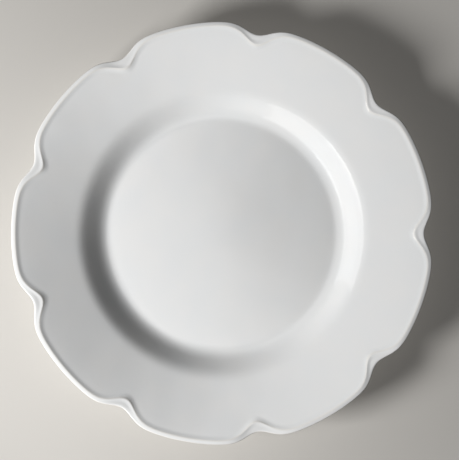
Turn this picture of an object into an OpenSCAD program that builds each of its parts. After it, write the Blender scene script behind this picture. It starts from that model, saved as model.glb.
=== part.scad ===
// Wide-rimmed buffet plate in white glazed porcelain, with a nine-lobed edge and a raised lip.
// The fired clay body, the glaze over it and the disc of glaze inside the foot ring are separate.
// Frame in millimetres: origin at the centre of the standing face, +Z up, one notch of the edge on +X.

/* [Plate] */
// Diameter across the lobes
plate_d = 305; // [295:1:320]
// Thickness from the glaze of the top to the glaze of the underside
plate_t = 4.8; // [4.2:0.1:5.6]
// Thickness of the glaze
glaze_t = 0.3; // [0.2:0.05:0.4]

/* [Well] */
// Diameter of the flat floor of the well
well_d = 163; // [156:1:166]
// Diameter at the middle of the straight part of the wall
wall_d = 193; // [190:1:196]
// Width of the straight part of the wall, seen from above
wall_w = 5; // [3:0.5:7]
// Angle of the straight part of the wall
wall_a = 37; // [32:1:42]

/* [Rim] */
// Diameter at which the wall of the well has run into the rim
shoulder_d = 221; // [217:1:227]
// Angle at which the rim rises
rim_a = 14; // [10:0.5:15]

/* [Edge] */
// Number of lobes
lobe_count = 9; // [7:1:10]
// Half width of a notch, where its depth has fallen to about a third
notch_w = 13.2; // [11:0.1:15]
// Depth of a notch in the outer edge
edge_notch = 6.9; // [5:0.1:8]
// Depth of a notch in the crest of the lip
crest_notch = 11.4; // [9:0.1:13]
// Distance from the crest of the lip to the outer edge on a lobe
lip_w = 2.2; // [2:0.1:3]
// Height of the crest over the rim on a lobe
lip_h = 0.45; // [0.35:0.05:0.8]
// Extra height of the crest in a notch
notch_lip_h = 0.3; // [0:0.05:0.5]

/* [Foot ring] */
// Outer diameter of the foot ring at its standing face
foot_d = 176; // [170:1:180]
// Width of the foot ring at its standing face
foot_w = 5; // [4:0.5:6]
// Height of the recess inside the foot ring
foot_h = 3; // [2.4:0.1:4]
// Height of the bare band at the bottom of the foot ring
bare_h = 1; // [0.6:0.1:1.6]

/* [Hidden] */
$fn = 180;

biscuit_colour = "#e6dfd2";
glaze_colour = "#f0f0ee";

// The top of the plate, on the surface of the glaze
edge_r = plate_d / 2;
well_r = well_d / 2;
wall_in = (wall_d - wall_w) / 2;
wall_out = (wall_d + wall_w) / 2;
shoulder_r = shoulder_d / 2;
well_z = foot_h + plate_t;
core_z = well_z - plate_t / 2;

// The wall is a hollow arc out of the well, a straight part, then a rounded arc over into the rim
hollow_r = (wall_in - well_r) / sin(wall_a);
hollow_z = well_z + hollow_r;
round_r = (shoulder_r - wall_out) / (sin(wall_a) - sin(rim_a));
round_x = shoulder_r + round_r * sin(rim_a);
round_z = hollow_z - (hollow_r + round_r) * cos(wall_a) + wall_w * tan(wall_a);
shoulder_z = round_z + round_r * cos(rim_a);
arc_steps = 12;

// The foot ring widens upwards on both sides and has its lower edges broken
foot_draft = 1.2;
foot_bevel = 0.5;
foot_out = foot_d / 2;
foot_in = foot_out - foot_w;
foot_mid = foot_out - foot_w / 2;

// Where the edge is cut into sections: close together in a notch, wider apart along a lobe
lobe_a = 360 / lobe_count;
notch_a = notch_w / edge_r * 180 / PI;
notch_steps = 12;
lobe_steps = 6;
notch_edge_a = 2 * notch_a;
notch_angles = [for (i = [0 : notch_steps - 1]) notch_edge_a * (2 * i / notch_steps - 1)];
lobe_angles = [for (i = [0 : lobe_steps - 1]) notch_edge_a + (lobe_a - 2 * notch_edge_a) * i / lobe_steps];
stations = [for (k = [0 : lobe_count - 1], a = concat(notch_angles, lobe_angles)) k * lobe_a + a];

// Section of the bead along the edge: how it is buried in the rim, and how its outside is rounded
bury_run = 8;
bury_depth = 1.6;
slope_run = 3.4;
slope_depth = 0.12;
roll_w = 2.2;
under_swell = 0.25;
roll_angles = [90, 60, 30, 0, -45, -90];

// Share of a notch's full depth at an angle round the plate: 1 in a notch, 0 on a lobe
function dip(a) = exp(-pow((a - lobe_a * round(a / lobe_a)) / notch_a, 2));
function outer_r(a) = edge_r - edge_notch * dip(a);
function crest_r(a) = edge_r - lip_w - crest_notch * dip(a);
function crest_h(a) = lip_h + notch_lip_h * dip(a);

// Height of the rim at a radius
function rim_z(r) = shoulder_z + (r - shoulder_r) * tan(rim_a);

// Wall and rim in section, sunk by a depth into the plate, from an angle on the hollow arc outwards
function skin(depth, from_a) = concat(
    [for (i = [0 : arc_steps]) let (a = from_a + (wall_a - from_a) * i / arc_steps)
        [well_r + (hollow_r + depth) * sin(a), hollow_z - (hollow_r + depth) * cos(a)]],
    [for (i = [0 : arc_steps]) let (a = wall_a + (rim_a - wall_a) * i / arc_steps)
        [round_x - (round_r - depth) * sin(a), round_z + (round_r - depth) * cos(a)]],
    [[edge_r, rim_z(edge_r) - depth / cos(rim_a)]]
);

// The same for the underside, inwards to the radius at which the foot ring meets it
function underside(depth, foot_r) =
    let (points = skin(depth, asin((foot_r - well_r) / (hollow_r + depth))))
    [for (i = [len(points) - 1 : -1 : 0]) points[i]];

// How far the foot ring's sides have spread at a height
function foot_spread(z) = foot_draft * (z - foot_bevel) / (core_z - foot_bevel);

// Bead in section at an angle, from its buried inner end over the lip and back underneath
function bead(a, depth) =
    let (
        crest = crest_r(a),
        inner = crest - bury_run,
        foot = crest - slope_run,
        brow = crest - slope_run / 3,
        crest_z = rim_z(crest) + crest_h(a),
        roll = min(roll_w, 0.8 * (outer_r(a) - crest)),
        band = outer_r(a) - roll - crest,
        top_z = crest_z + band * tan(rim_a) / 2 - depth,
        under = plate_t + under_swell - depth,
        under_z = rim_z(outer_r(a) - roll) - under
    )
    concat(
        [
            [inner, rim_z(inner) - bury_depth - depth],
            [foot, rim_z(foot) - slope_depth - depth],
            [brow, rim_z(brow) + 0.7 * crest_h(a) - depth],
            [crest, crest_z - depth]
        ],
        [for (t = roll_angles)
            [outer_r(a) - roll + (roll - depth) * cos(t), (top_z + under_z + (top_z - under_z) * sin(t)) / 2]],
        [
            [brow, rim_z(brow) - under],
            [foot, rim_z(foot) - plate_t + slope_depth + depth],
            [inner, rim_z(inner) - plate_t + bury_depth + depth]
        ]
    );

// Bead along the notched edge, as a closed ring of quads
module edge_bead(depth) {
    rows = [for (a = stations) [for (p = bead(a, depth)) [p[0] * cos(a), p[0] * sin(a), p[1]]]];
    n = len(rows);
    m = len(rows[0]);
    polyhedron(
        points = [for (row = rows) each row],
        faces = [for (j = [0 : n - 1], i = [0 : m - 1]) let (k = (j + 1) % n, l = (i + 1) % m)
            [j * m + i, k * m + i, k * m + l, j * m + l]]
    );
}

// Turned plate from a section, cut off just inside the crest and closed by the bead
module notched_plate(depth) {
    intersection() {
        rotate_extrude()
            children();
        linear_extrude(height = rim_z(edge_r) + 1)
            polygon([for (a = stations) (crest_r(a) - 1) * [cos(a), sin(a)]]);
    }
    edge_bead(depth);
}

// Fired clay: well, wall, rim, lip and foot ring in one
module biscuit_body() {
    base_z = foot_h + glaze_t;
    color(biscuit_colour)
    notched_plate(glaze_t)
        polygon(concat(
            [[0, base_z], [0, well_z - glaze_t]],
            skin(glaze_t, 0),
            underside(plate_t - glaze_t, foot_out + foot_draft),
            [
                [foot_out, foot_bevel],
                [foot_out - foot_bevel, 0],
                [foot_in + foot_bevel, 0],
                [foot_in, foot_bevel],
                [foot_in - foot_spread(base_z), base_z]
            ]
        ));
}

// Glass over the top, the lip and the underside, down to the bare band of the foot ring
module glaze_coat() {
    color(glaze_colour)
    difference() {
        notched_plate(0)
            polygon(concat(
                [[0, core_z], [0, well_z]],
                skin(0, 0),
                underside(plate_t, foot_out + foot_draft + glaze_t),
                [[foot_out + foot_spread(bare_h) + glaze_t, bare_h], [foot_mid, bare_h], [foot_mid, core_z]]
            ));
        biscuit_body();
    }
}

// Disc of the same glass inside the foot ring, with a skirt down to its bare band
module base_glaze() {
    base_z = foot_h + glaze_t;
    color(glaze_colour)
    rotate_extrude()
        polygon([
            [0, foot_h],
            [foot_in - foot_spread(foot_h) - glaze_t, foot_h],
            [foot_in - foot_spread(bare_h) - glaze_t, bare_h],
            [foot_in - foot_spread(bare_h), bare_h],
            [foot_in - foot_spread(base_z), base_z],
            [0, base_z]
        ]);
}

biscuit_body();
glaze_coat();
base_glaze();
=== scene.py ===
"""Looks of the wide-rimmed white plate: glazed porcelain with a nine-lobed edge and a bare foot ring."""

import math

import bpy
from mathutils import Matrix, Vector


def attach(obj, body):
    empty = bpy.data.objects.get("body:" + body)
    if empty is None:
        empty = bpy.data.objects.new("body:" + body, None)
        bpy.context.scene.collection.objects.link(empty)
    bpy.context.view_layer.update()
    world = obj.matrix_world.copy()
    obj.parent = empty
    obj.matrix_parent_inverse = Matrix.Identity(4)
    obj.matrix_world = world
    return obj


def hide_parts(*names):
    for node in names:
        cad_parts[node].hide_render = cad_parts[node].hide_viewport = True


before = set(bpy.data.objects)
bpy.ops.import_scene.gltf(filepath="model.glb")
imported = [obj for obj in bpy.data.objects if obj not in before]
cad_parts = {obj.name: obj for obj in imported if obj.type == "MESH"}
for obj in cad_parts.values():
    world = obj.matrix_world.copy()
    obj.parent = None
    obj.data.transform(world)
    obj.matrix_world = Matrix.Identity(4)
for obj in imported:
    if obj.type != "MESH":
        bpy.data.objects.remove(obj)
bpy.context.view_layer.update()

# Sizes of the plate in millimetres, as in the solids
MM = 0.001
EDGE_R = 152.5
PLATE_T = 4.8
GLAZE_T = 0.3
LOBES = 9
NOTCH_W = 13.2
EDGE_NOTCH = 6.9
CREST_NOTCH = 11.4
LIP_W = 2.2
FOOT_OUT = 88.0
FOOT_IN = 83.0
FOOT_H = 3.0
BARE_H = 1.0

# The body keeps this far off the inside of the glaze, so that the two never share a face
FIT = 0.01

# Sections round the plate: how many, and how much closer together they are in a notch than on a lobe
STEPS = 360
CROWDING = 0.5

# Height of the top at the middle, and its slope in degrees at radii from there outwards:
# a barely crowned well, a wall, a rim
CROWN_Z = 8.4
WELL_SLOPES = [(0, 0), (22, -1.4), (40, -1.4), (64, -0.9), (81.8, -1.6)]
PLAIN_SLOPES = WELL_SLOPES + [(95, 37.4), (98, 37.4), (109.6, 16.6), (136, 17.2), (160, 17.2)]

# The section's three forms, each at its share of a notch's depth
FORMS = {"lobe": 0.0, "flank": 0.5, "notch": 1.0}

# Slope of the lip in degrees at distances from its crest, for each share of a notch's depth.
# The flank's slopes are gentler, because its lip runs aslant and each radius crosses it at a slant.
LIP_SLOPES = {
    0.0: [(-9, 17.2), (-4.6, 16.4), (-2, 25.5), (-1.45, 25.5), (-0.4, 3), (0.5, -3)],
    0.5: [(-9.5, 17.2), (-5.7, 16.8), (-2.2, 22.5), (-1.2, 24), (0.4, 3.5), (1.3, 4), (2.3, 6), (3.1, 3)],
    1.0: [(-10, 17), (-5.4, 17.2), (-2.1, 26), (-1.1, 33), (0.4, 4), (1.1, 5), (3.3, 12.5), (4.9, 10.5)],
}

# Slope at which the lip runs into its rounded outside
LIP_END = {0.0: -9, 0.5: -10, 1.0: -8}

# Rounded outside of the lip: its width on top, how full its upper corner is, how far over mid-height it is
# widest, and how far inside the edge the plain underside begins
ROLL_W = 0.7
ROLL_FULLNESS = 0.7
WIDEST_UP = 0.5
UNDER_IN = 4.6

# Foot ring: radius of its lower edges, and how far it spreads at the bottom and at the top of its bare band,
# under the ends of the glaze, at the top of its outer and inner sides and at the top of the recess
FOOT_ROUND = 0.7
STANDING_SPREAD = 0.02
BARE_SPREAD = 0.1
LOW_SPREAD = 0.12
OUTER_SPREAD = 0.5
INNER_SPREAD = 0.45
RECESS_SPREAD = 0.62

# Glaze at the foot ring: its rolled ends over the bare band, then the hollows outside and inside the ring,
# with their height, how far off the ring's sides their corners lie, and the inner one's width
GLAZE_ROLL = 0.15
FILLET_H = 1.3
FILLET_OUT = 0.3
RECESS_FILLET_IN = 0.2
RECESS_FILLET_W = 2.2

# Rows of points along a section: radii in the well, then ends and counts of even runs outwards over the wall
# and the rim, and inwards along the underside, where a radius is that of the top above it
LIP_FROM = 126.0
WELL_ROWS = [0, 4, 8, 13, 18, 24, 30, 36, 42, 50, 58, 66, 75]
TOP_RUNS = [(114, 34), (LIP_FROM, 4)]
UNDER_RUNS = [(122, 5), (106, 5), (88.6, 12)]

# Radii of rows on the disc of glaze in the recess, and on the clay that it covers
DISC_ROWS = [0, 20, 40, 60, 74]
COVERED_ROWS = [74.98, 40, 0]

# Counts of rows up to the lip, on each side of its crest and in rounded corners, and the power by which the
# rows draw together on the inner side of the crest
BEFORE_LIP_ROWS = 4
LIP_ROWS = 16
EDGE_ROWS = 9
FILLET_ROWS = 8
FOOT_ROWS = 6
LIP_CROWDING = 1.4

# Steps by which a line of slopes is followed: along the top, and for the underside, which shows less
TOP_STEP = 0.1
UNDER_STEP = 0.5

# A cubic curve whose inner points lie this share of the way to its corner is close to a round arc
ROUND_PULL = 0.55

# How strongly the glaze's thickness follows a bend, and the shortest bend that counts, in millimetres
POOL_GAIN = 8
POOL_LEAST = 0.3

# Points closer than this, in metres, are joined where the seam and the poles close
SEAM_GAP = 2e-6


def linear(code):
    """Linear colour of an sRGB hex code."""
    parts = [int(code[i:i + 2], 16) / 255 for i in (1, 3, 5)]
    return tuple(c / 12.92 if c <= 0.04045 else ((c + 0.055) / 1.055) ** 2.4 for c in parts) + (1.0,)


def add(tree, kind, links=None, **settings):
    """Adds a node, sets its properties and fills its inputs with values or links."""
    node = tree.nodes.new(kind)
    for name, value in settings.items():
        setattr(node, name, value)
    for name, value in (links or {}).items():
        if isinstance(value, bpy.types.NodeSocket):
            tree.links.new(value, node.inputs[name])
        else:
            node.inputs[name].default_value = value
    return node


# Sections


def eased(knots, x):
    """Value between knots, level at each of them."""
    if x <= knots[0][0]:
        return knots[0][1]
    for (x0, y0), (x1, y1) in zip(knots, knots[1:]):
        if x <= x1:
            t = (x - x0) / (x1 - x0)
            return y0 + (y1 - y0) * t * t * (3 - 2 * t)
    return knots[-1][1]


def run_of(slopes, start, radii, fine=TOP_STEP):
    """Points at the radii on a line that starts at a point and follows slopes in degrees."""
    r, z = start
    points = []
    for stop in radii:
        count = max(1, math.ceil((stop - r) / fine))
        step = (stop - r) / count
        for _ in range(count):
            z += step * math.tan(math.radians(eased(slopes, r + step / 2)))
            r += step
        points.append((stop, z))
    return points


def spread(start, end, count):
    """Values from start, which is left out, to end."""
    return [start + (end - start) * i / count for i in range(1, count + 1)]


def runs(start, stops):
    """Values from start, which is left out, in even runs up to each stop with its count."""
    values = []
    for end, count in stops:
        values += spread(start, end, count)
        start = end
    return values


def bend(a, b, c, d, count):
    """Points on a cubic curve from a, which is left out, to d."""
    points = []
    for i in range(1, count + 1):
        t = i / count
        weights = ((1 - t) ** 3, 3 * t * (1 - t) ** 2, 3 * t * t * (1 - t), t ** 3)
        points.append(tuple(sum(w * p[k] for w, p in zip(weights, (a, b, c, d))) for k in (0, 1)))
    return points


def corner(a, meet, d, count, pull=ROUND_PULL):
    """Rounded corner from a to d, whose two sides meet at a point."""
    b = tuple(p + (m - p) * pull for p, m in zip(a, meet))
    c = tuple(p + (m - p) * pull for p, m in zip(d, meet))
    return bend(a, b, c, d, count)


def sunk(points, depth):
    """The line moved into the clay, which lies on its right."""
    moved = []
    for i, (r, z) in enumerate(points):
        before, after = points[max(i - 1, 0)], points[min(i + 1, len(points) - 1)]
        dr, dz = after[0] - before[0], after[1] - before[1]
        length = math.hypot(dr, dz)
        moved.append((max(0.0, r + depth * dz / length), z - depth * dr / length))
    return moved


def top_line(share):
    """Top of the glaze from the axis to the lip's rounded outside, at a share of a notch's depth."""
    crest = EDGE_R - LIP_W - CREST_NOTCH * share
    last = EDGE_R - EDGE_NOTCH * share - ROLL_W - crest
    first = LIP_SLOPES[share][0][0]
    slopes = LIP_SLOPES[share] + [(last, LIP_END[share])]
    plain = WELL_ROWS + runs(WELL_ROWS[-1], TOP_RUNS) + spread(LIP_FROM, crest + first, BEFORE_LIP_ROWS)
    near = [crest + first * (1 - t) ** LIP_CROWDING for t in spread(0, 1, LIP_ROWS)]
    over = [crest + last * t for t in spread(0, 1, LIP_ROWS)]
    points = run_of(PLAIN_SLOPES, (0, CROWN_Z), plain)
    return points + run_of([(crest + d, s) for d, s in slopes], points[-1], near + over)


def under_point(r):
    """Point of the underside that lies square below the top at a radius."""
    z = run_of(PLAIN_SLOPES, (0, CROWN_Z), [r], UNDER_STEP)[0][1]
    a = math.radians(eased(PLAIN_SLOPES, r))
    return r + PLATE_T * math.sin(a), z - PLATE_T * math.cos(a)


def edge_line(share, start):
    """Rounded outside of the lip and the underside, inwards to the foot ring."""
    outer = EDGE_R - EDGE_NOTCH * share
    low = under_point(outer - UNDER_IN)
    middle = (outer, (start[1] + low[1]) / 2 + WIDEST_UP)
    fall = math.tan(math.radians(LIP_END[share]))
    rise = math.tan(math.radians(PLAIN_SLOPES[-1][1]))
    over = (outer, start[1] + (outer - start[0]) * fall)
    under = (outer, low[1] + (outer - low[0]) * rise)
    points = corner(start, over, middle, EDGE_ROWS, ROLL_FULLNESS)
    points += corner(middle, under, low, EDGE_ROWS)
    return points + [under_point(r) for r in runs(outer - UNDER_IN, UNDER_RUNS)]


def glaze_line(share):
    """Whole outside of the glaze in section, from the axis over the lip to the foot ring's bare band."""
    points = top_line(share)
    points += edge_line(share, points[-1])
    here, before = points[-1], points[-2]
    foot = (FOOT_OUT + GLAZE_T + LOW_SPREAD, BARE_H + GLAZE_ROLL)
    side = (FOOT_OUT + GLAZE_T + OUTER_SPREAD, here[1] - FILLET_H)
    lean = (here[1] - before[1]) / (here[0] - before[0])
    meet_r = side[0] + FILLET_OUT
    meet = (meet_r, here[1] + lean * (meet_r - here[0]))
    points += corner(here, meet, side, FILLET_ROWS)
    halfway = ((side[0] + foot[0]) / 2, (side[1] + foot[1]) / 2)
    return points + [halfway, foot]


def foot_line():
    """Bare clay of the foot ring, from the end of the outer glaze round the standing face to the axis."""
    out, inn = FOOT_OUT + STANDING_SPREAD, FOOT_IN - STANDING_SPREAD
    top = FOOT_H + GLAZE_T + FIT
    points = [(FOOT_OUT + BARE_SPREAD, BARE_H), (out, FOOT_ROUND)]
    points += corner((out, FOOT_ROUND), (out, 0), (out - FOOT_ROUND, 0), FOOT_ROWS)
    points += [((out + inn) / 2, 0), (inn + FOOT_ROUND, 0)]
    points += corner((inn + FOOT_ROUND, 0), (inn, 0), (inn, FOOT_ROUND), FOOT_ROWS)
    points += [(FOOT_IN - BARE_SPREAD, BARE_H), (FOOT_IN - RECESS_SPREAD, top)]
    return points + [(r, top) for r in COVERED_ROWS]


def glaze_section(share):
    """Closed section of the glaze: its outside, its rolled end and the inside that lies on the clay."""
    outside = glaze_line(share)
    inside = sunk(outside, GLAZE_T)
    tip = (outside[-1][0] - GLAZE_T / 2, BARE_H)
    return outside + [tip] + inside[::-1]


def clay_section(share):
    """Closed section of the clay: the glaze's inside, the bare foot ring and the top of the recess."""
    return sunk(glaze_line(share), GLAZE_T + FIT)[:-1] + foot_line()


def base_section(share):
    """Closed section of the glaze inside the foot ring: a disc with a skirt, the same at any share."""
    inn = FOOT_IN - FIT
    top = FOOT_H + GLAZE_T
    side = (inn - GLAZE_T - INNER_SPREAD, FOOT_H - FILLET_H)
    foot = (inn - GLAZE_T - LOW_SPREAD, BARE_H + GLAZE_ROLL)
    start = (side[0] - RECESS_FILLET_W, FOOT_H)
    under = [(r, FOOT_H) for r in DISC_ROWS] + [start]
    under += corner(start, (side[0] - RECESS_FILLET_IN, FOOT_H), side, FILLET_ROWS)
    tip = [foot, (foot[0] + GLAZE_T / 2, BARE_H), (foot[0] + GLAZE_T, BARE_H + GLAZE_ROLL)]
    over = [(inn - RECESS_SPREAD, top)] + [(r, top) for r in DISC_ROWS[::-1]]
    return (under + tip + over)[::-1]


def pooled(points):
    """Thickness of the glaze along a line: above 0 in hollows, where it pools, and below 0 on edges."""
    turns = []
    for i in range(len(points)):
        a, b, c = points[max(i - 1, 0)], points[i], points[min(i + 1, len(points) - 1)]
        first = math.atan2(b[1] - a[1], b[0] - a[0])
        second = math.atan2(c[1] - b[1], c[0] - b[0])
        turn = math.remainder(second - first, math.tau) if a != b and b != c else 0.0
        turns.append(turn / max(POOL_LEAST, math.dist(a, c) / 2))
    return [max(-1.0, min(1.0, POOL_GAIN * t)) for t in turns]


# Shape: a rule that carries a section round the axis and moves it between its lobe, flank and notch forms


def plate_rule():
    """Node tree of the rule: a grid of the section's points, each moved to its place round the plate."""
    tree = bpy.data.node_groups.new("section_round_nine_lobes", "GeometryNodeTree")
    sockets = [
        ("Section", "NodeSocketGeometry"),
        ("Lobes", "NodeSocketInt"),
        ("Notch angle", "NodeSocketFloat"),
        ("Steps", "NodeSocketInt"),
        ("Crowding", "NodeSocketFloat"),
        ("Finish", "NodeSocketMaterial"),
    ]
    for name, kind in sockets:
        tree.interface.new_socket(name, in_out="INPUT", socket_type=kind)
    tree.interface.new_socket("Piece", in_out="OUTPUT", socket_type="NodeSocketGeometry")
    given = add(tree, "NodeGroupInput").outputs
    section = given["Section"]
    lobes = given["Lobes"]
    steps = given["Steps"]

    # A grid with one row for each point of the section and one column for each step round the plate
    count = add(tree, "GeometryNodeAttributeDomainSize", {"Geometry": section}).outputs["Point Count"]
    columns = add(tree, "FunctionNodeIntegerMath", {0: steps, 1: 1}, operation="ADD").outputs[0]
    grid = add(tree, "GeometryNodeMeshGrid", {"Vertices X": count, "Vertices Y": columns}).outputs["Mesh"]
    index = add(tree, "GeometryNodeInputIndex").outputs[0]
    row = add(tree, "FunctionNodeIntegerMath", {0: index, 1: columns}, operation="DIVIDE_FLOOR").outputs[0]
    column = add(tree, "FunctionNodeIntegerMath", {0: index, 1: columns}, operation="MODULO").outputs[0]

    # Angle of each column, closer together in the notches
    part = add(tree, "ShaderNodeMath", {0: column, 1: steps}, operation="DIVIDE").outputs[0]
    even = add(tree, "ShaderNodeMath", {0: part, 1: math.tau}, operation="MULTIPLY").outputs[0]
    turn = add(tree, "ShaderNodeMath", {0: even, 1: lobes}, operation="MULTIPLY").outputs[0]
    wave = add(tree, "ShaderNodeMath", {0: turn}, operation="SINE").outputs[0]
    pull = add(tree, "ShaderNodeMath", {0: given["Crowding"], 1: lobes}, operation="DIVIDE").outputs[0]
    shift = add(tree, "ShaderNodeMath", {0: wave, 1: pull}, operation="MULTIPLY").outputs[0]
    angle = add(tree, "ShaderNodeMath", {0: even, 1: shift}, operation="SUBTRACT").outputs[0]

    # Share of a notch's depth: 1 in the notch, falling off as a bell curve to 0 on the lobes
    half = add(tree, "ShaderNodeMath", {0: math.pi, 1: lobes}, operation="DIVIDE").outputs[0]
    minus = add(tree, "ShaderNodeMath", {0: half, 1: -1.0}, operation="MULTIPLY").outputs[0]
    off = add(tree, "ShaderNodeMath", {0: angle, 1: half, 2: minus}, operation="WRAP").outputs[0]
    ratio = add(tree, "ShaderNodeMath", {0: off, 1: given["Notch angle"]}, operation="DIVIDE").outputs[0]
    square = add(tree, "ShaderNodeMath", {0: ratio, 1: ratio}, operation="MULTIPLY").outputs[0]
    fall = add(tree, "ShaderNodeMath", {0: square, 1: -1.0}, operation="MULTIPLY").outputs[0]
    share = add(tree, "ShaderNodeMath", {0: fall}, operation="EXPONENT").outputs[0]

    # The section's point on a smooth line through its lobe, flank and notch forms
    forms = []
    for name in FORMS:
        stored = add(tree, "GeometryNodeInputNamedAttribute", {"Name": name}, data_type="FLOAT_VECTOR")
        wanted = {"Geometry": section, "Value": stored.outputs[0], "Index": row}
        forms.append(add(tree, "GeometryNodeSampleIndex", wanted, data_type="FLOAT_VECTOR").outputs[0])
    lobe, flank, notch = forms
    double = add(tree, "ShaderNodeMath", {0: share, 1: 2.0}, operation="MULTIPLY").outputs[0]
    beyond = add(tree, "ShaderNodeMath", {0: double, 1: 1.0}, operation="SUBTRACT").outputs[0]
    lines = []
    for ends in ({0: double, 4: lobe, 5: flank}, {0: beyond, 4: flank, 5: notch}):
        lines.append(add(tree, "ShaderNodeMix", ends, data_type="VECTOR", clamp_factor=False).outputs[1])
    mixed = add(tree, "ShaderNodeMix", {0: share, 4: lines[0], 5: lines[1]}, data_type="VECTOR").outputs[1]

    # That point turned to the column's angle
    point = add(tree, "ShaderNodeSeparateXYZ", {0: mixed}).outputs
    cos = add(tree, "ShaderNodeMath", {0: angle}, operation="COSINE").outputs[0]
    sin = add(tree, "ShaderNodeMath", {0: angle}, operation="SINE").outputs[0]
    x = add(tree, "ShaderNodeMath", {0: point[0], 1: cos}, operation="MULTIPLY").outputs[0]
    y = add(tree, "ShaderNodeMath", {0: point[0], 1: sin}, operation="MULTIPLY").outputs[0]
    spot = add(tree, "ShaderNodeCombineXYZ", {0: x, 1: y, 2: point[2]}).outputs[0]
    shaped = add(tree, "GeometryNodeSetPosition", {"Geometry": grid, "Position": spot}).outputs[0]

    # The glaze's thickness goes along, then the seam and the two poles close
    pool = add(tree, "GeometryNodeInputNamedAttribute", {"Name": "pool"}, data_type="FLOAT").outputs[0]
    pool_at = add(tree, "GeometryNodeSampleIndex", {"Geometry": section, "Value": pool, "Index": row})
    stored = {"Geometry": shaped, "Name": "pool", "Value": pool_at.outputs[0]}
    glazed = add(tree, "GeometryNodeStoreNamedAttribute", stored, data_type="FLOAT").outputs[0]
    closed = add(tree, "GeometryNodeMergeByDistance", {"Geometry": glazed, "Distance": SEAM_GAP}).outputs[0]
    smooth = add(tree, "GeometryNodeSetShadeSmooth", {"Geometry": closed}).outputs[0]
    real = add(tree, "GeometryNodeRealizeInstances", {"Geometry": smooth}).outputs[0]
    done = add(tree, "GeometryNodeSetMaterial", {"Geometry": real, "Material": given["Finish"]}).outputs[0]
    add(tree, "NodeGroupOutput", {"Piece": done})
    return tree


def turned_piece(name, section, finish, rule):
    """Piece made by the rule from its section on a lobe, on a flank and in a notch."""
    sections = {form: section(share) for form, share in FORMS.items()}
    lobe = sections["lobe"]
    mesh = bpy.data.meshes.new(name)
    mesh.from_pydata([(r * MM, 0, z * MM) for r, z in lobe], [(i, i + 1) for i in range(len(lobe) - 1)], [])
    for form, points in sections.items():
        mesh.attributes.new(form, "FLOAT_VECTOR", "POINT")
        for i, (r, z) in enumerate(points):
            mesh.attributes[form].data[i].vector = (r * MM, 0, z * MM)
    mesh.attributes.new("pool", "FLOAT", "POINT")
    for i, value in enumerate(pooled(lobe)):
        mesh.attributes["pool"].data[i].value = value
    piece = bpy.data.objects.new(name, mesh)
    bpy.context.scene.collection.objects.link(piece)
    modifier = piece.modifiers.new("rule", "NODES")
    modifier.node_group = rule
    values = {
        "Lobes": LOBES,
        "Notch angle": NOTCH_W / EDGE_R,
        "Steps": STEPS,
        "Crowding": CROWDING,
        "Finish": finish,
    }
    for item in rule.interface.items_tree:
        if item.name in values:
            modifier[item.identifier] = values[item.name]
    graph = bpy.context.evaluated_depsgraph_get()
    solid = bpy.data.meshes.new_from_object(piece.evaluated_get(graph), depsgraph=graph)
    piece.modifiers.clear()
    piece.data = solid
    bpy.data.meshes.remove(mesh)
    solid.name = name
    return piece


# Finishes

# Glaze: two whites in patches, a cooler one where it pools and a warmer one where it thins
WHITE = linear("#eaebeb")
WHITE_PATCH = linear("#ececeb")
WHITE_POOLED = linear("#e6e9ea")
WHITE_THIN = linear("#ece9e3")

# Glaze: sizes in millimetres of the patches, smears of gloss, waves and dimples
PATCH_W = 26
SMEAR_W = 40
WAVE_W = 22
WAVE_H = 0.16
DIMPLE_W = 2.4
DIMPLE_H = 0.003

# Bare clay: its colour, where the sponge stained it, where it is rubbed, and its specks
CREAM = linear("#e6dfd1")
CREAM_STAINED = linear("#d8cbb5")
CREAM_RUBBED = linear("#c6c0b6")
SPECK = linear("#857d72")

# Bare clay: sizes in millimetres of the stains, the cells that may hold a speck and the grain, how high up it
# is rubbed, and how much of the rubbed colour shows at most
STAIN_W = 14
SPECK_CELL_W = 5
GRAIN_W = 0.5
GRAIN_H = 0.06
RUBBED_H = 0.4
RUBBED_MOST = 0.45


def per(size):
    """Scale of a texture on Object coordinates whose features are a size in millimetres."""
    return 1 / (size * MM)


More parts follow.
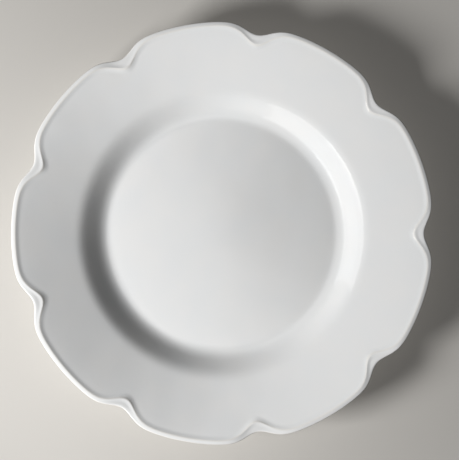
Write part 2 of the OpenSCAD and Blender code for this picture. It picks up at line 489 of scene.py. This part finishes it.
def glazed_porcelain():
    """Clear glass melted over a white body: even white, mirror-glossy, and never quite level.

    The glass draws off the edges, where the body shows a little warmer, and pools in the hollows, which look
    a shade cooler. Its skin keeps a long waviness from the dipping and the fine dimples of an orange skin,
    which are about 0.8 mm on the plate and are drawn three times as coarse, because they wouldn't show
    otherwise.
    """
    finish = bpy.data.materials.new("glazed_porcelain_dipped")
    finish.use_nodes = True
    tree = finish.node_tree
    shader = tree.nodes["Principled BSDF"]
    shader.inputs["IOR"].default_value = 1.5
    place = add(tree, "ShaderNodeTexCoord").outputs["Object"]

    # Colour
    clouds = add(tree, "ShaderNodeTexNoise", {"Vector": place, "Scale": per(PATCH_W), "Detail": 3.0})
    cloudy = add(tree, "ShaderNodeMapRange", {0: clouds.outputs["Fac"], 1: 0.35, 2: 0.65}).outputs[0]
    white = add(tree, "ShaderNodeMix", {0: cloudy, 6: WHITE, 7: WHITE_PATCH}, data_type="RGBA").outputs[2]
    pool = add(tree, "ShaderNodeAttribute", attribute_name="pool").outputs["Fac"]
    hollow = add(tree, "ShaderNodeMapRange", {0: pool, 1: 0.1, 2: 1.0, 3: 0.0, 4: 0.3}).outputs[0]
    edge = add(tree, "ShaderNodeMapRange", {0: pool, 1: -0.3, 2: -1.0, 3: 0.0, 4: 0.6}).outputs[0]
    cooler = add(tree, "ShaderNodeMix", {0: hollow, 6: white, 7: WHITE_POOLED}, data_type="RGBA").outputs[2]
    warmer = add(tree, "ShaderNodeMix", {0: edge, 6: cooler, 7: WHITE_THIN}, data_type="RGBA").outputs[2]
    tree.links.new(warmer, shader.inputs["Base Color"])

    # Gloss
    smears = add(tree, "ShaderNodeTexNoise", {"Vector": place, "Scale": per(SMEAR_W), "Detail": 2.0})
    span = {0: smears.outputs["Fac"], 1: 0.3, 2: 0.7, 3: 0.01, 4: 0.025}
    gloss = add(tree, "ShaderNodeMapRange", span).outputs[0]
    tree.links.new(gloss, shader.inputs["Roughness"])

    # Waves and dimples
    waves = add(tree, "ShaderNodeTexNoise", {"Vector": place, "Scale": per(WAVE_W), "Detail": 0.0})
    swell = {"Strength": 1.0, "Distance": WAVE_H * MM, "Height": waves.outputs["Fac"]}
    wavy = add(tree, "ShaderNodeBump", swell).outputs[0]
    dimples = add(tree, "ShaderNodeTexNoise", {"Vector": place, "Scale": per(DIMPLE_W), "Detail": 0.0})
    dents = {"Strength": 1.0, "Distance": DIMPLE_H * MM, "Height": dimples.outputs["Fac"], "Normal": wavy}
    skin = add(tree, "ShaderNodeBump", dents).outputs[0]
    tree.links.new(skin, shader.inputs["Normal"])
    return finish


def biscuit_porcelain():
    """Fired clay wiped free of glaze: dry, warm off-white and finely grained.

    The sponge leaves faint stains along the ring, the kiln shelf a few grey specks, and the standing face is
    rubbed a little greyer and smoother. The grain is about 0.2 mm and is drawn at 0.5 mm, so that it shows.
    """
    finish = bpy.data.materials.new("biscuit_porcelain_wiped")
    finish.use_nodes = True
    tree = finish.node_tree
    shader = tree.nodes["Principled BSDF"]
    shader.inputs["IOR"].default_value = 1.5
    place = add(tree, "ShaderNodeTexCoord").outputs["Object"]

    # Colour of the clay, stained and rubbed
    stains = add(tree, "ShaderNodeTexNoise", {"Vector": place, "Scale": per(STAIN_W), "Detail": 4.0})
    stained = add(tree, "ShaderNodeMapRange", {0: stains.outputs["Fac"], 1: 0.4, 2: 0.7}).outputs[0]
    clay = add(tree, "ShaderNodeMix", {0: stained, 6: CREAM, 7: CREAM_STAINED}, data_type="RGBA").outputs[2]
    height = add(tree, "ShaderNodeSeparateXYZ", {0: place}).outputs["Z"]
    span = {0: height, 1: RUBBED_H * MM, 2: 0.0, 3: 0.0, 4: RUBBED_MOST}
    rubbed = add(tree, "ShaderNodeMapRange", span).outputs[0]
    worn = add(tree, "ShaderNodeMix", {0: rubbed, 6: clay, 7: CREAM_RUBBED}, data_type="RGBA").outputs[2]

    # Specks in some of the cells
    cells = add(tree, "ShaderNodeTexVoronoi", {"Vector": place, "Scale": per(SPECK_CELL_W)}).outputs
    chance = add(tree, "ShaderNodeSeparateColor", {0: cells["Color"]}).outputs[0]
    chosen = add(tree, "ShaderNodeMath", {0: chance, 1: 0.7}, operation="GREATER_THAN").outputs[0]
    close = add(tree, "ShaderNodeMapRange", {0: cells["Distance"], 1: 0.09, 2: 0.05, 4: 0.7}).outputs[0]
    speck = add(tree, "ShaderNodeMath", {0: chosen, 1: close}, operation="MULTIPLY").outputs[0]
    specked = add(tree, "ShaderNodeMix", {0: speck, 6: worn, 7: SPECK}, data_type="RGBA").outputs[2]
    tree.links.new(specked, shader.inputs["Base Color"])

    # Dryness and grain
    dry = add(tree, "ShaderNodeMapRange", {0: rubbed, 1: 0.0, 2: RUBBED_MOST, 3: 0.82, 4: 0.6}).outputs[0]
    tree.links.new(dry, shader.inputs["Roughness"])
    grain = add(tree, "ShaderNodeTexNoise", {"Vector": place, "Scale": per(GRAIN_W), "Detail": 2.0})
    pits = {"Strength": 0.6, "Distance": GRAIN_H * MM, "Height": grain.outputs["Fac"]}
    rough = add(tree, "ShaderNodeBump", pits).outputs[0]
    tree.links.new(rough, shader.inputs["Normal"])
    return finish


# Pieces: each with its section, its finish, the solid that it stands for and its material slot

rule = plate_rule()
glaze = glazed_porcelain()
biscuit = biscuit_porcelain()
PIECES = [
    ("glaze_skin", glaze_section, glaze, "glaze_coat", "glaze"),
    ("clay_body", clay_section, biscuit, "biscuit_body", "biscuit"),
    ("foot_recess_glaze", base_section, glaze, "base_glaze", "glaze"),
]
for name, section, finish, node, slot in PIECES:
    piece = turned_piece(name, section, finish, rule)
    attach(piece, "root")
    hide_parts(node)

# Stage, in metres and degrees: a pale floor, a key light with its card, a ceiling and a dim world

PAPER = linear("#bfbcb7")
BLACK = linear("#000000")

# Floor: paper that takes light and shade round the middle of the plate's shadow and fades outwards to an even
# tone, then how much of that tone it has near the plate, and how much light it throws back on to the plate
FLOOR_R = 30.0
FLOOR_SIDES = 64
SHADOW_MIDDLE = (0.05, 0.021, 0.0)
FADE_FROM = 0.2
FADE_TO = 0.42
NEAR_GLOW = 0.18
BOUNCE = 0.4

# Card in front of the key light, which only the glaze mirrors: its radius, how much narrower its foot is, and
# its height and levels over its azimuths, from its foot to its bright top
CARD_R = 1.0
CARD_TAPER = 0.2
CARD_ROWS = (0.0, 0.44, 0.6, 0.78, 1.0)
SIDE = (1.65, 1.65, 1.75, 2.0, 2.9)
DULL = (0.7, 0.7, 1.0, 1.6, 2.7)
NEAR = (0.5, 0.5, 1.1, 2.3, 4.2)
BRIGHT = (0.3, 0.3, 1.2, 3.0, 5.6)
CARD = [
    (152.3, 0.96, SIDE),
    (170, 1.06, DULL),
    (182, 1.11, DULL),
    (190, 1.13, NEAR),
    (200, 1.13, BRIGHT),
    (210, 1.12, BRIGHT),
    (219, 1.08, BRIGHT),
    (223, 1.05, DULL),
    (236, 0.95, DULL),
    (252, 0.81, SIDE),
]

# Ceiling, which only the glaze mirrors: bright at the front, at the back and towards the key light, and dark
# opposite it. Each ring has its angle from straight up, a level of its own and its shares of an upper and a
# lower level, which change round the ceiling.
CEILING_R = 2.0
CEILING_SIDES = 36
CEILING_RINGS = [
    (0, 2.05, 0.0, 0.0),
    (8, 1.15, 0.43, 0.0),
    (18, 0.0, 0.9, 0.11),
    (30, 0.25, 0.3, 0.45),
    (46, 0.3, 0.0, 0.5),
    (66, 0.45, 0.0, 0.25),
    (80, 0.56, 0.0, 0.0),
]
CEILING_FRONT = 290
CEILING_KEY_SIDE = 200
UPPER_MEAN = 1.5
UPPER_KEY_SIDE = 0.7
UPPER_ENDS = 1.1
UPPER_FRONT = 0.35
LOWER_ENDS = 2.6

# Key light: where it stands, its size and its radiance
KEY_AZIMUTH = 203
KEY_ELEVATION = 31.5
KEY_DISTANCE = 0.9
KEY_SIZE = (0.31, 0.27)
KEY_RADIANCE = 43.1

# Strength of the world as light on the plate
WORLD_DIM = 0.012


def shown(tree):
    """1 where a ray comes from the camera, a mirror or glass, and 0 where it gathers light for a surface."""
    path = add(tree, "ShaderNodeLightPath").outputs
    either = path["Is Camera Ray"]
    for kind in ("Is Glossy Ray", "Is Transmission Ray"):
        either = add(tree, "ShaderNodeMath", {0: either, 1: path[kind]}, operation="MAXIMUM").outputs[0]
    return either


def matt_paper():
    """Pale uncoated paper: dull, and without a shine at any angle."""
    finish = bpy.data.materials.new("matt_paper")
    finish.use_nodes = True
    tree = finish.node_tree
    shader = tree.nodes["Principled BSDF"]
    shader.inputs["Roughness"].default_value = 0.9
    shader.inputs["Specular IOR Level"].default_value = 0.0
    shader.inputs["Emission Color"].default_value = PAPER
    seen = shown(tree)
    place = add(tree, "ShaderNodeTexCoord").outputs["Object"]
    away = add(tree, "ShaderNodeVectorMath", {0: place, 1: SHADOW_MIDDLE}, operation="DISTANCE")
    span = {0: away.outputs["Value"], 1: FADE_FROM, 2: FADE_TO}
    far = add(tree, "ShaderNodeMapRange", span, interpolation_type="SMOOTHSTEP").outputs[0]
    tone = add(tree, "ShaderNodeMix", {0: far, 6: PAPER, 7: BLACK}, data_type="RGBA").outputs[2]
    tree.links.new(tone, shader.inputs["Base Color"])
    even = add(tree, "ShaderNodeMapRange", {0: far, 3: NEAR_GLOW, 4: 1.0}).outputs[0]
    lift = add(tree, "ShaderNodeMath", {0: seen, 1: even}, operation="MULTIPLY").outputs[0]
    gathers = add(tree, "ShaderNodeLightPath").outputs["Is Diffuse Ray"]
    glow = add(tree, "ShaderNodeMath", {0: gathers, 1: BOUNCE, 2: lift}, operation="MULTIPLY_ADD").outputs[0]
    tree.links.new(glow, shader.inputs["Emission Strength"])
    finish.cycles.emission_sampling = "NONE"
    return finish


def pale_floor():
    """Wide round sheet of paper under the plate."""
    rim = [(FLOOR_R * math.cos(a), FLOOR_R * math.sin(a), 0) for a in spread(0, math.tau, FLOOR_SIDES)]
    mesh = bpy.data.meshes.new("floor")
    mesh.from_pydata(rim, [], [tuple(range(FLOOR_SIDES))])
    mesh.materials.append(matt_paper())
    floor = bpy.data.objects.new("floor", mesh)
    bpy.context.scene.collection.objects.link(floor)


def glow_sheet(name, columns):
    """Sheet of light seen only in the glaze, from columns of points with their levels."""
    rows = len(columns[0])
    points = [point for column in columns for point, _ in column]
    corners = [i * rows + j for i in range(1, len(columns)) for j in range(1, rows)]
    mesh = bpy.data.meshes.new(name)
    mesh.from_pydata(points, [], [(k - 1, k, k - rows, k - rows - 1) for k in corners])
    mesh.attributes.new("glow", "FLOAT", "POINT")
    for i, level in enumerate(level for column in columns for _, level in column):
        mesh.attributes["glow"].data[i].value = level
    paint = bpy.data.materials.new(name)
    paint.use_nodes = True
    tree = paint.node_tree
    tree.nodes.remove(tree.nodes["Principled BSDF"])
    level = add(tree, "ShaderNodeAttribute", attribute_name="glow").outputs["Fac"]
    shine = add(tree, "ShaderNodeEmission", {"Strength": level})
    tree.links.new(shine.outputs[0], tree.nodes["Material Output"].inputs["Surface"])
    paint.cycles.emission_sampling = "NONE"
    mesh.materials.append(paint)
    sheet = bpy.data.objects.new(name, mesh)
    bpy.context.scene.collection.objects.link(sheet)
    sheet.visible_camera = False
    sheet.visible_diffuse = False
    sheet.visible_shadow = False


def softbox_card():
    """Bent card that the right side of the well's wall mirrors as a bright band."""
    middle = (CARD[0][0] + CARD[-1][0]) / 2
    columns = []
    for azimuth, top, levels in CARD:
        column = []
        for share, level in zip(CARD_ROWS, levels):
            a = math.radians(middle + (azimuth - middle) * (1 - CARD_TAPER * (1 - share)))
            column.append(((CARD_R * math.cos(a), CARD_R * math.sin(a), top * share), level))
        columns.append(column)
    glow_sheet("softbox_card", columns)


def bounce_ceiling():
    """Dome of light that gives the rest of the glaze its soft sheen."""
    columns = []
    for a in [0.0] + spread(0, math.tau, CEILING_SIDES):
        to_front = a - math.radians(CEILING_FRONT)
        ends = math.cos(2 * to_front)
        key_side = math.cos(a - math.radians(CEILING_KEY_SIDE))
        upper = max(0.0, UPPER_MEAN + UPPER_KEY_SIDE * key_side + UPPER_ENDS * ends)
        upper += UPPER_FRONT * max(0.0, math.cos(to_front))
        lower = max(0.0, LOWER_ENDS * ends)
        column = []
        for lean, own, upper_share, lower_share in CEILING_RINGS:
            tilt = math.radians(lean)
            flat = CEILING_R * math.sin(tilt)
            point = (flat * math.cos(a), flat * math.sin(a), CEILING_R * math.cos(tilt))
            column.append((point, own + upper_share * upper + lower_share * lower))
        columns.append(column)
    glow_sheet("bounce_ceiling", columns)


def key_softbox():
    """Flat light that faces the plate's middle. The glaze mirrors the card in its place."""
    lamp = bpy.data.lights.new("key_softbox", "AREA")
    lamp.shape = "RECTANGLE"
    lamp.size, lamp.size_y = KEY_SIZE
    lamp.energy = KEY_RADIANCE * math.pi * KEY_SIZE[0] * KEY_SIZE[1]
    a, e = math.radians(KEY_AZIMUTH), math.radians(KEY_ELEVATION)
    away = Vector((math.cos(a) * math.cos(e), math.sin(a) * math.cos(e), math.sin(e)))
    across = Vector((-math.sin(a), math.cos(a), 0))
    turn = Matrix((across, away.cross(across), away)).transposed().to_4x4()
    key = bpy.data.objects.new("key_softbox", lamp)
    bpy.context.scene.collection.objects.link(key)
    key.matrix_world = Matrix.Translation(away * KEY_DISTANCE) @ turn
    key.visible_glossy = False


def dim_studio():
    """World that is dim as light and paper-pale where it is seen or mirrored."""
    world = bpy.data.worlds.new("studio")
    bpy.context.scene.world = world
    world.use_nodes = True
    tree = world.node_tree
    sky = tree.nodes["Background"]
    sky.inputs["Color"].default_value = PAPER
    level = add(tree, "ShaderNodeMapRange", {0: shown(tree), 3: WORLD_DIM, 4: 1.0}).outputs[0]
    tree.links.new(level, sky.inputs["Strength"])
    world.cycles.sampling_method = "NONE"


pale_floor()
softbox_card()
bounce_ceiling()
key_softbox()
dim_studio()

# Camera: straight above, a little to the lower left of the plate's middle. The frame is 460 pixels high, and
# one of them is 0.7225 mm at the height of the plate's edge.
IMAGE_ROWS = 460
PIXEL = 0.7225
EYE = Vector((-16.0, -20.0, 750.6)) * MM
FRAME_MIDDLE = Vector((4.86, 2.46, 28.6)) * MM
FRAME_HEIGHT = IMAGE_ROWS * PIXEL * MM
lens = bpy.data.cameras.new("camera")
lens.sensor_fit = "VERTICAL"
lens.sensor_height = 36
lens.lens = lens.sensor_height * (EYE.z - FRAME_MIDDLE.z) / FRAME_HEIGHT
lens.shift_x = (FRAME_MIDDLE.x - EYE.x) / FRAME_HEIGHT
lens.shift_y = (FRAME_MIDDLE.y - EYE.y) / FRAME_HEIGHT
eye = bpy.data.objects.new("camera", lens)
bpy.context.scene.collection.objects.link(eye)
eye.matrix_world = Matrix.Translation(EYE)
bpy.context.scene.camera = eye

bpy.context.scene.view_settings.view_transform = "Standard"
